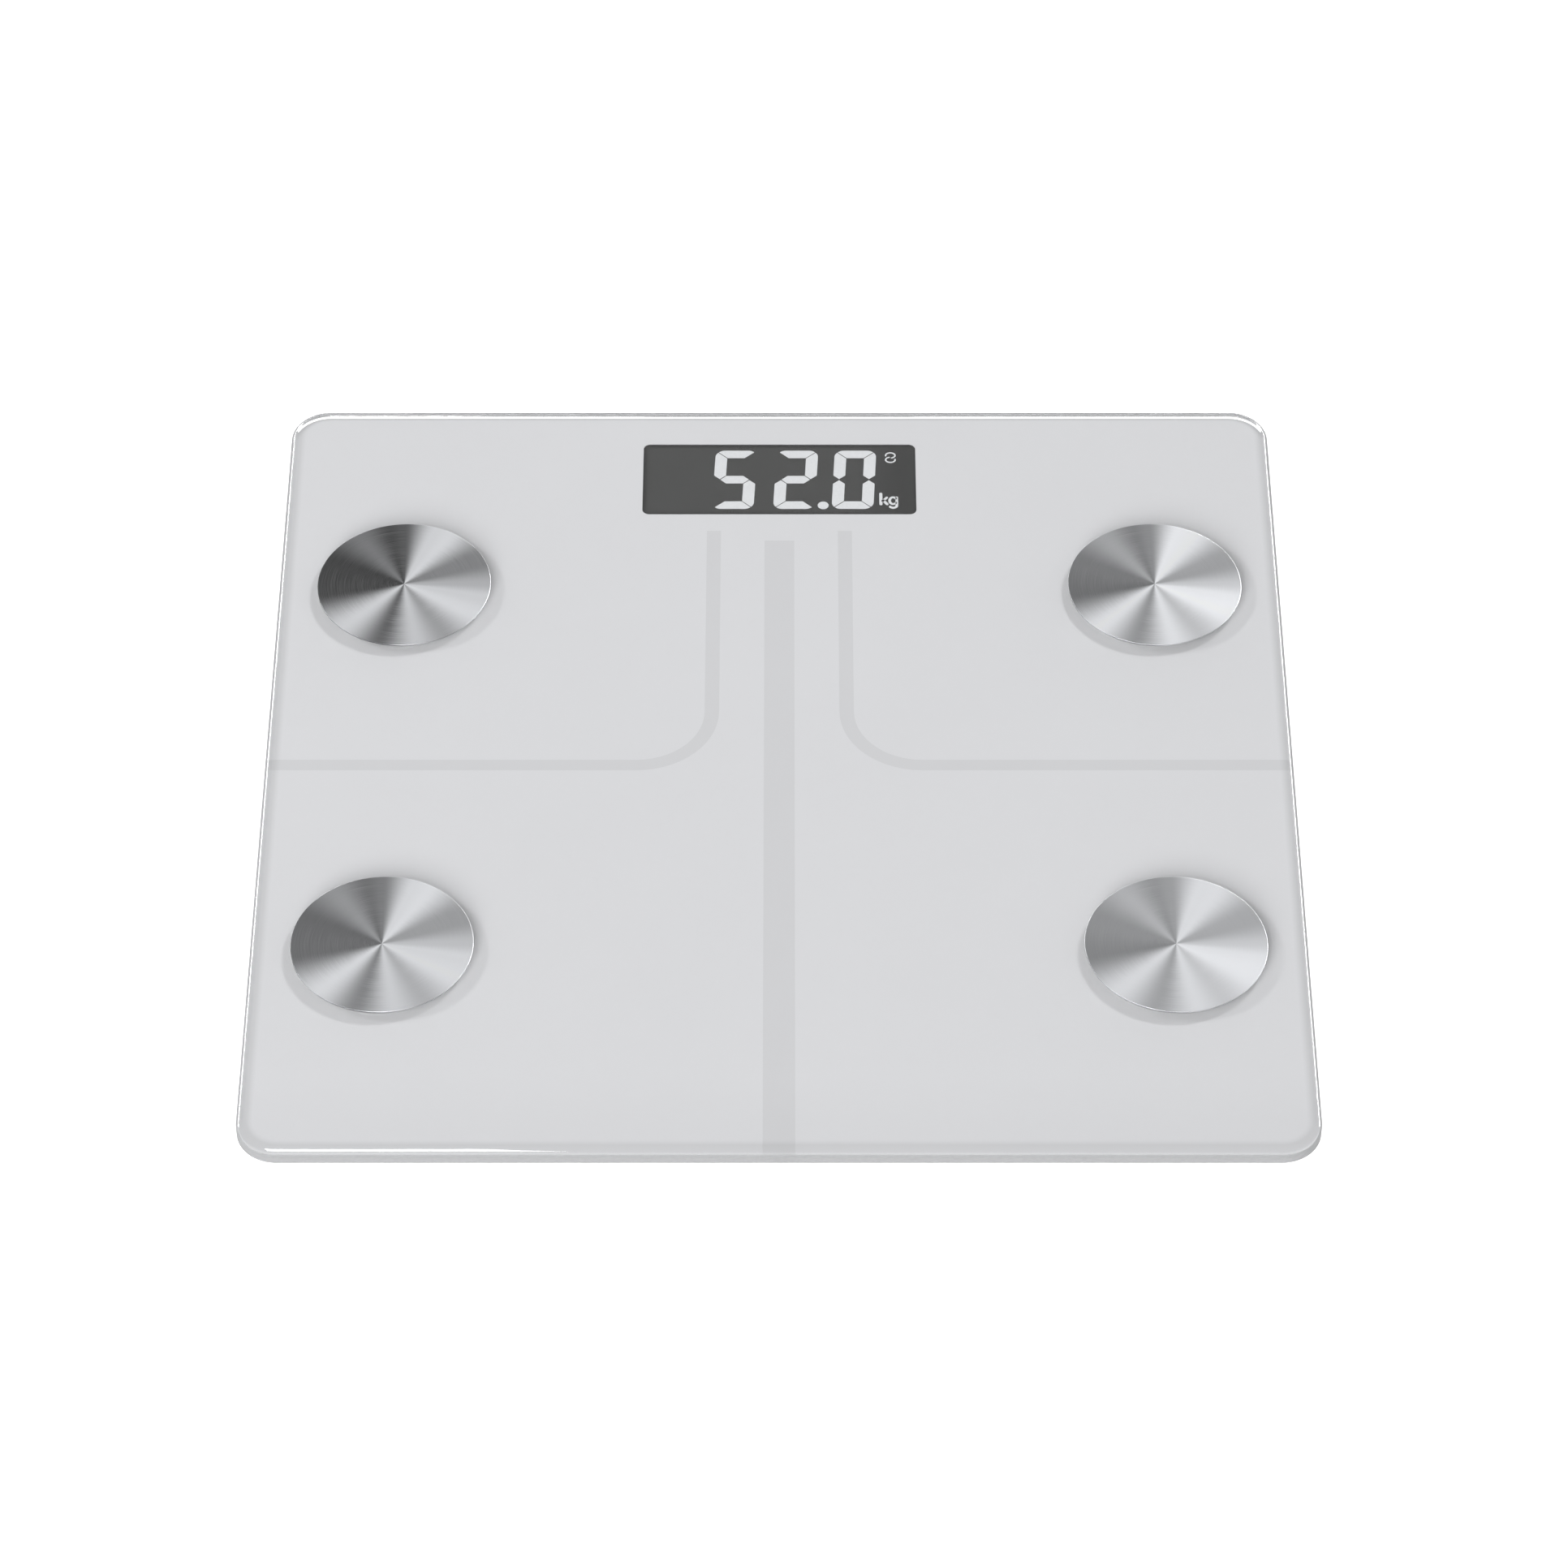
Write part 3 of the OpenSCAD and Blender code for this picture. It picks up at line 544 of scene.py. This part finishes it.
def floor_material():
    """Bright white studio floor, clear from below so that the underside can be seen."""
    finish = Finish("studio_floor", {
        "Roughness": 0.9, "Specular IOR Level": 0.0, "Emission Color": (1.0, 1.0, 1.0, 1.0),
    })
    finish.colour(finish.between(finish.noise(3.0), grey(0.49), grey(0.51)))
    lighting = finish.nodes.new("ShaderNodeLightPath").outputs["Is Diffuse Ray"]
    finish.link(finish.spread(lighting, *FLOOR_GLOW, 0.0, 1.0), finish.surface.inputs["Emission Strength"])
    below = finish.nodes.new("ShaderNodeNewGeometry").outputs["Backfacing"]
    clear = finish.nodes.new("ShaderNodeBsdfTransparent")
    finish.show(finish.mix_shaders(below, finish.surface.outputs["BSDF"], clear.outputs["BSDF"]))
    return finish.material


# ---------------------------------------------------------------- the platform

GLASS_EDGE_R = 1.7 * MM
GLASS_ARRIS_R = 0.3 * MM
STUD_HOLE_R = 3 * MM
DISC_SHOULDER = 0.1 * MM
# The visible slab reaches this far into the ink, so that no gap of air shows between them
INK_BOND = 0.1 * MM
# Narrow flat rows beside the round edges keep the shading of the large faces flat
SUPPORT = 0.2 * MM


def electrode_centre(corner):
    return sum(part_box("electrode_" + corner), Vector()) / 2


def make_glass():
    """The slab of glass, drilled for the electrodes' studs."""
    low = GLASS_LOW.z - INK_BOND
    profile = slab_profile(low, GLASS_HIGH.z, GLASS_ARRIS_R, GLASS_EDGE_R, SUPPORT)
    slab = loft("glass_slab", [rounded_ring(GLASS_HALF, GLASS_CORNER_R, inset, z) for inset, z in profile])
    centres = [electrode_centre(corner) for corner in CORNERS]
    drilled = cut_holes(slab, centres, STUD_HOLE_R, low - MM, GLASS_HIGH.z + MM)
    piece = new_piece("glass_slab", drilled, node="glass_platform")
    piece.data.materials.clear()
    piece.data.materials.append(glass_material())


# Darkest and brightest tone of each disc's fan of painted reflection, the power of its tones, and the dimming
# along its diagonal
DISC_REFLECTION_TONES = {
    "rear_left": (0.04, 0.98, 1.15, 0.22),
    "rear_right": (0.17, 1.0, 0.9, -0.08),
    "front_left": (0.15, 1.0, 0.9, 0.14),
    "front_right": (0.29, 0.98, 0.78, 0.0),
}


def make_disc(corner):
    """A disc with a small chamfer below and a round shoulder above."""
    low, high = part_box("electrode_" + corner)
    centre = electrode_centre(corner)
    radius = (high.x - low.x) / 2
    profile = [(radius - DISC_SHOULDER, low.z), (radius, low.z + DISC_SHOULDER)]
    rim_r, rim_z = radius - DISC_SHOULDER, high.z - DISC_SHOULDER
    profile += arc(rim_r, rim_z, DISC_SHOULDER, 0, 90)
    profile.append((radius - 2 * DISC_SHOULDER, high.z))
    mesh = loft("disc_" + corner, [circle_ring(centre, r, z) for r, z in profile])
    piece = new_piece("disc_" + corner, mesh, node="electrode_" + corner)
    piece.data.materials.append(disc_material("turned_steel_" + corner, centre, DISC_REFLECTION_TONES[corner]))


# ---------------------------------------------------------------- the display's figures

# Millimetres, from the middle of the platform
DIGIT_W = 11.05
DIGIT_H = 22.5
BAR_H = 2.9
POST_W = 3.15
OUTER_R = 2.3
GAP = 0.16
SLANT = 0.044
DIGIT_BASE_Y = 94.6
SEGMENTS_OF = {"5": "afgcd", "2": "abged", "0": "abcdef"}
# Each figure and its left edge
FIGURES = (("5", -17.9), ("2", -1.7), ("0", 13.75))
POINT_AT, POINT_R = (11.55, 95.95), 1.45
UNIT_AT = (26.4, 96.0)
LINK_AT = (29.5, 114.4)
FIGURE_HEIGHT = 0.04 * MM


def top_bar():
    """Outline of the top bar, whose slanted ends leave a hairline gap to its neighbours."""
    right = arc(DIGIT_W - OUTER_R - GAP, DIGIT_H - OUTER_R, OUTER_R, 45, 90)
    left = arc(OUTER_R + GAP, DIGIT_H - OUTER_R, OUTER_R, 90, 135)
    inner = [(POST_W + GAP, DIGIT_H - BAR_H), (DIGIT_W - POST_W - GAP, DIGIT_H - BAR_H)]
    return inner + right + left


def upper_post():
    """Outline of the upper left post, pointed where it meets the middle."""
    middle = DIGIT_H / 2
    point = BAR_H / 2
    outer = arc(OUTER_R, DIGIT_H - OUTER_R - GAP, OUTER_R, 135, 180)
    return outer + [
        (0, middle + point + GAP), (POST_W / 2, middle + 1.4 * GAP), (POST_W, middle + point + GAP),
        (POST_W, DIGIT_H - BAR_H - GAP),
    ]


def middle_bar():
    """Outline of the middle bar, pointed at both ends."""
    middle = DIGIT_H / 2
    half = BAR_H / 2
    left, right = POST_W / 2 + GAP, DIGIT_W - POST_W / 2 - GAP
    return [
        (left, middle), (POST_W + GAP, middle - half), (DIGIT_W - POST_W - GAP, middle - half),
        (right, middle), (DIGIT_W - POST_W - GAP, middle + half), (POST_W + GAP, middle + half),
    ]


def flipped(outline, across=False, over=False):
    """An outline mirrored left to right, top to bottom or both, still anticlockwise."""
    turned = [(DIGIT_W - x if across else x, DIGIT_H - y if over else y) for x, y in outline]
    return turned if across == over else turned[::-1]


SEGMENT_OUTLINES = {
    "a": top_bar(), "d": flipped(top_bar(), over=True), "g": middle_bar(), "f": upper_post(),
    "b": flipped(upper_post(), across=True), "e": flipped(upper_post(), over=True),
    "c": flipped(upper_post(), across=True, over=True),
}


def stroke(path, width):
    """Outline of a line of even width along a path, with round ends."""
    half = width / 2
    sides = ([], [])
    for k, (x, y) in enumerate(path):
        ax, ay = path[max(k - 1, 0)]
        bx, by = path[min(k + 1, len(path) - 1)]
        length = math.hypot(bx - ax, by - ay)
        nx, ny = -(by - ay) / length, (bx - ax) / length
        sides[0].append((x + half * nx, y + half * ny))
        sides[1].append((x - half * nx, y - half * ny))

    def cap(end, before):
        turn = math.degrees(math.atan2(end[1] - before[1], end[0] - before[0]))
        return arc(end[0], end[1], half, turn + 90, turn - 90, 6)[1:-1]

    return sides[0] + cap(path[-1], path[-2]) + sides[1][::-1] + cap(path[0], path[1])


def unit_outlines(x, y):
    """The letters k and g, drawn as bold strokes with their left foot at x, y."""
    bold = 0.82
    half = bold / 2
    bowl_x, bowl_y = x + 3.65, y + 1.75
    stem_x = x + 4.6
    tail = ellipse_path(bowl_x, y - 0.15, 0.95, 0.8, -20, -150, 10)
    return [
        stroke([(x + half, y + half), (x + half, y + 4.4)], bold),
        stroke([(x + 0.9, y + 1.6), (x + 2.0, y + 2.95)], bold * 0.85),
        stroke([(x + 1.0, y + 1.9), (x + 2.05, y + half)], bold * 0.95),
        stroke(ellipse_path(bowl_x, bowl_y, 0.93, 1.3, 40, 320), bold * 0.85),
        stroke([(stem_x, y + 3.0), (stem_x, y - 0.1)] + tail, bold * 0.9),
    ]


def link_outlines(x, y):
    """Two linked loops, a plain wireless symbol, centred on x, y."""
    upper = ellipse_path(x, y + 0.85, 1.25, 1.0, 190, -75)
    lower = [(2 * x - px, 2 * y - py) for px, py in upper]
    return [stroke(path, 0.42) for path in (upper, lower)]


def display_outlines():
    """Outlines of all that is lit: the figures, the decimal point, the unit and the link symbol."""
    outlines = []
    for figure, left in FIGURES:
        for segment in SEGMENTS_OF[figure]:
            outlines.append([
                (left + px + SLANT * py, DIGIT_BASE_Y + py) for px, py in SEGMENT_OUTLINES[segment]
            ])
    outlines.append(arc(*POINT_AT, POINT_R, 0, 345, 23))
    return outlines + unit_outlines(*UNIT_AT) + link_outlines(*LINK_AT)


def make_figures():
    """The lit figures, as thin raised shapes on the LCD."""
    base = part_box("lcd_panel")[1].z
    points, faces = [], []
    for outline in display_outlines():
        first, count = len(points), len(outline)
        for z in (base, base + FIGURE_HEIGHT):
            points += [(MIDDLE.x + px * MM, MIDDLE.y + py * MM, z) for px, py in outline]
        faces.append(tuple(first + k for k in reversed(range(count))))
        faces.append(tuple(first + count + k for k in range(count)))
        faces += [
            (first + k, first + (k + 1) % count, first + count + (k + 1) % count, first + count + k)
            for k in range(count)
        ]
    mesh = mesh_from("display_figures", points, faces, flat_faces=range(len(faces)))
    tidy = bmesh.new()
    tidy.from_mesh(mesh)
    bmesh.ops.recalc_face_normals(tidy, faces=tidy.faces)
    bmesh.ops.triangulate(tidy, faces=[f for f in tidy.faces if len(f.verts) > 4])
    tidy.to_mesh(mesh)
    tidy.free()
    piece = new_piece("display_figures", mesh)
    piece.data.materials.append(segment_material())


# ---------------------------------------------------------------- CAD nodes' finishes

def paint(material, *names):
    """Gives CAD nodes one material."""
    for name in names:
        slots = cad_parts[name].data.materials
        slots.clear()
        slots.append(material)


def corner_nodes(prefix):
    return [prefix + "_" + corner for corner in CORNERS]


def paint_print():
    """The two inks on the back of the glass."""
    pale = grey(INK_TONE, INK_TINT)
    paint(ink_material("ink_pale", pale, striped=True), "back_print")
    paint(ink_material("ink_lines", shade(pale, LINE_TONE)), "printed_lines")


def paint_plastics():
    """Moulded plastics, rubber, tape, film and the cells' sleeves."""
    moulded = dict(rough=(0.42, 0.58), relief=0.03 * MM)
    housing = mottled("housing_plastic", grey(0.73, (1.0, 1.0, 0.985)), **moulded)
    paint(housing, "base_housing", "battery_door")
    paint(mottled("spacer_plastic", grey(0.8, (1.0, 0.995, 0.97)), **moulded), "cell_retainers")
    paint(mottled("foot_plastic", grey(0.62, (1.0, 1.0, 0.99)), **moulded), *corner_nodes("foot_cap"))
    rubber = dict(rough=(0.75, 0.9), grain=1600.0, relief=0.05 * MM)
    paint(mottled("foot_rubber", grey(0.18, (0.98, 1.0, 1.02)), **rubber), *corner_nodes("foot_pad"))
    paint(mottled("button_plastic", grey(0.38, (0.97, 1.0, 1.03)), **moulded), "unit_button")
    paint(mottled("black_plastic", grey(0.03), **moulded), "lcd_holder", "unit_switch", "switch_plunger",
          "processor_chip", "converter_chip")
    foam = dict(rough=(0.7, 0.85), grain=1200.0, relief=0.03 * MM)
    paint(mottled("tape", grey(0.82, (1.0, 1.0, 0.96)), **foam), "adhesive_frame", "electrode_bonds")
    film = mottled("gauge_film", grey(0.85, (1.0, 0.98, 0.9)), rough=(0.3, 0.45))
    paint(film, *corner_nodes("strain_gauge"))
    paint(mottled("light_guide", grey(0.86, (0.97, 1.0, 1.03)), rough=(0.15, 0.25)), "lcd_backlight")
    paint(mottled("label_film", grey(0.6, (0.98, 1.0, 1.03)), rough=(0.35, 0.45)), "rating_label")
    sleeve = mottled("cell_sleeve", (0.07, 0.2, 0.34, 1.0), {"Coat Weight": 0.5}, rough=(0.2, 0.3))
    paint(sleeve, "battery_cells")


def paint_metals():
    """Plated fixings, spring steel contacts and the rolled steel of the load cells."""
    paint(brushed("zinc_plate", grey(0.6, (1.0, 1.0, 1.02)), 2), "electrode_studs", "electrode_washers",
          "electrode_nuts", "board_screws", "holder_screws", "crystal", "capacitors", "wireless_module")
    paint(brushed("spring_steel", grey(0.62, (1.02, 1.0, 0.94)), 0), "battery_springs", "battery_plates")
    paint(brushed("rolled_steel", grey(0.56, (1.0, 1.0, 1.02)), 1), *corner_nodes("load_cell_frame"),
          *corner_nodes("load_cell_beam"))


def paint_board():
    """Green solder mask with faint copper tracks under it."""
    finish = Finish("solder_mask", {"Coat Weight": 0.3})
    tracks = finish.nodes.new("ShaderNodeTexBrick")
    tracks.inputs["Scale"].default_value = 220.0
    tracks.inputs["Color1"].default_value = (0.015, 0.14, 0.06, 1.0)
    tracks.inputs["Color2"].default_value = (0.02, 0.18, 0.08, 1.0)
    tracks.inputs["Mortar"].default_value = (0.03, 0.24, 0.1, 1.0)
    finish.link(finish.place, tracks.inputs["Vector"])
    finish.colour(tracks.outputs["Color"])
    finish.roughness(finish.spread(finish.noise(300.0), 0.25, 0.4))
    paint(finish.material, "main_board")


def paint_contact_strip():
    """Silicone strip with fine conducting layers across it."""
    finish = Finish("zebra_strip", {})
    bands = finish.nodes.new("ShaderNodeTexWave")
    bands.inputs["Scale"].default_value = 1600.0
    finish.link(finish.place, bands.inputs["Vector"])
    finish.colour(finish.blend(bands.outputs["Fac"], (0.7, 0.34, 0.36, 1.0), (0.08, 0.06, 0.06, 1.0)))
    finish.roughness(finish.spread(finish.noise(500.0), 0.5, 0.65))
    paint(finish.material, "lcd_contact_strip")


def paint_wires():
    """Vinyl-covered wires: each node its own colour, with small gloss changes along it."""
    for node, colour in (
        ("load_cell_wires", (0.5, 0.05, 0.05, 1.0)),
        ("electrode_wires", (0.62, 0.48, 0.05, 1.0)),
        ("battery_wires", (0.06, 0.06, 0.07, 1.0)),
    ):
        paint(mottled("vinyl_" + node, colour, rough=(0.28, 0.4), cloud=120.0), node)


# ---------------------------------------------------------------- studio

CAMERA_ELEVATION = math.radians(46.06)
CAMERA_DISTANCE = 1.541
CAMERA_LENS_MM = 139.96
CAMERA_SENSOR_MM = 36.0
AIM_RIGHT = 1.21 * MM
AIM_DOWN = 6.41 * MM

# Strength of the sky as it is seen, as it is mirrored and as it lights matt surfaces
SKY_SEEN = 1.0
SKY_MIRRORED = 0.61
SKY_LIGHT = 0.33

# The floor lies a hair below the feet, so that the two never share a plane
FLOOR_GAP = 0.05 * MM
FLOOR_REACH = 6.0


def make_camera():
    """Camera at the photo's height and distance, a little to one side of the middle."""
    ahead = Vector((0, math.cos(CAMERA_ELEVATION), -math.sin(CAMERA_ELEVATION)))
    up = Vector((0, math.sin(CAMERA_ELEVATION), math.cos(CAMERA_ELEVATION)))
    aim = Vector((MIDDLE.x + AIM_RIGHT, MIDDLE.y, GLASS_HIGH.z)) - up * AIM_DOWN
    data = bpy.data.cameras.new("camera")
    data.lens = CAMERA_LENS_MM
    data.sensor_width = CAMERA_SENSOR_MM
    data.clip_start = 0.01
    camera = bpy.data.objects.new("camera", data)
    bpy.context.scene.collection.objects.link(camera)
    camera.location = aim - ahead * CAMERA_DISTANCE
    camera.rotation_euler = (-ahead).to_track_quat("Z", "Y").to_euler()
    bpy.context.scene.camera = camera


def make_floor():
    """White floor just under the feet; it is staging, and no part of the scale."""
    z = cad_bounds[0][2] - FLOOR_GAP
    corners = [(sx * FLOOR_REACH, sy * FLOOR_REACH, z) for sx, sy in ((-1, -1), (1, -1), (1, 1), (-1, 1))]
    floor = bpy.data.objects.new("floor", mesh_from("floor", corners, [(0, 1, 2, 3)], flat_faces=(0,)))
    bpy.context.scene.collection.objects.link(floor)
    floor.data.materials.append(floor_material())


def softbox(name, place, size, radiance, lights=True, mirrored=True, aim=MIDDLE):
    """Soft rectangular lamp; it lights matt surfaces, is mirrored in glossy ones, or both."""
    data = bpy.data.lights.new(name, "AREA")
    data.shape = "RECTANGLE"
    data.size, data.size_y = size
    data.energy = radiance * math.pi * size[0] * size[1]
    lamp = bpy.data.objects.new(name, data)
    bpy.context.scene.collection.objects.link(lamp)
    lamp.location = place
    lamp.rotation_euler = (Vector(place) - Vector(aim)).to_track_quat("Z", "Y").to_euler()
    lamp.visible_camera = False
    lamp.visible_diffuse = lights
    lamp.visible_glossy = mirrored


def make_sky():
    """Plain white world whose strength depends on what kind of ray meets it."""
    world = bpy.data.worlds.new("studio")
    world.use_nodes = True
    bpy.context.scene.world = world
    nodes = world.node_tree.nodes
    link = world.node_tree.links.new
    background = nodes["Background"]
    background.inputs["Color"].default_value = (1.0, 1.0, 1.0, 1.0)
    path = nodes.new("ShaderNodeLightPath")
    mixes = []
    for ray, strength in (("Is Diffuse Ray", SKY_LIGHT), ("Is Camera Ray", SKY_SEEN)):
        mix = nodes.new("ShaderNodeMix")
        mix.inputs["B"].default_value = strength
        link(path.outputs[ray], mix.inputs["Factor"])
        mixes.append(mix)
    mixes[0].inputs["A"].default_value = SKY_MIRRORED
    link(mixes[0].outputs["Result"], mixes[1].inputs["A"])
    link(mixes[1].outputs["Result"], background.inputs["Strength"])


def make_lights():
    """Lamps that only light matt surfaces, and cards that only show in glossy ones."""
    softbox("key", (-0.3, -1.1, 1.1), (0.5, 1.3), 8.6, mirrored=False)
    softbox("right_spot", (0.65, 0.43, 1.92), (0.25, 0.25), 48.0, mirrored=False)
    softbox("left_spot", (-1.25, 0.0, 1.75), (0.25, 0.25), 30.0, mirrored=False)
    left_edge = (-0.534, -0.13, 0.02)
    softbox("front_card", (-0.464, -1.245, 0.865), (0.65, 1.09), 12.0, lights=False, aim=left_edge)
    for side, x in (("left", -1), ("right", 1)):
        softbox("low_" + side + "_card", (0.7 * x, 2.2, 0.5), (0.95, 0.25), 17.0, lights=False)
        softbox("wide_" + side + "_card", (1.7 * x, 1.7, 0.56), (1.8, 0.66), 12.0, lights=False)


bpy.context.scene.view_settings.view_transform = "Standard"
bpy.context.scene.view_settings.look = "None"
make_camera()
make_sky()
make_lights()
make_floor()
make_glass()
for corner in CORNERS:
    make_disc(corner)
make_figures()
paint_print()
paint_plastics()
paint_metals()
paint(lcd_material(), "lcd_panel")
paint_board()
paint_contact_strip()
paint_wires()
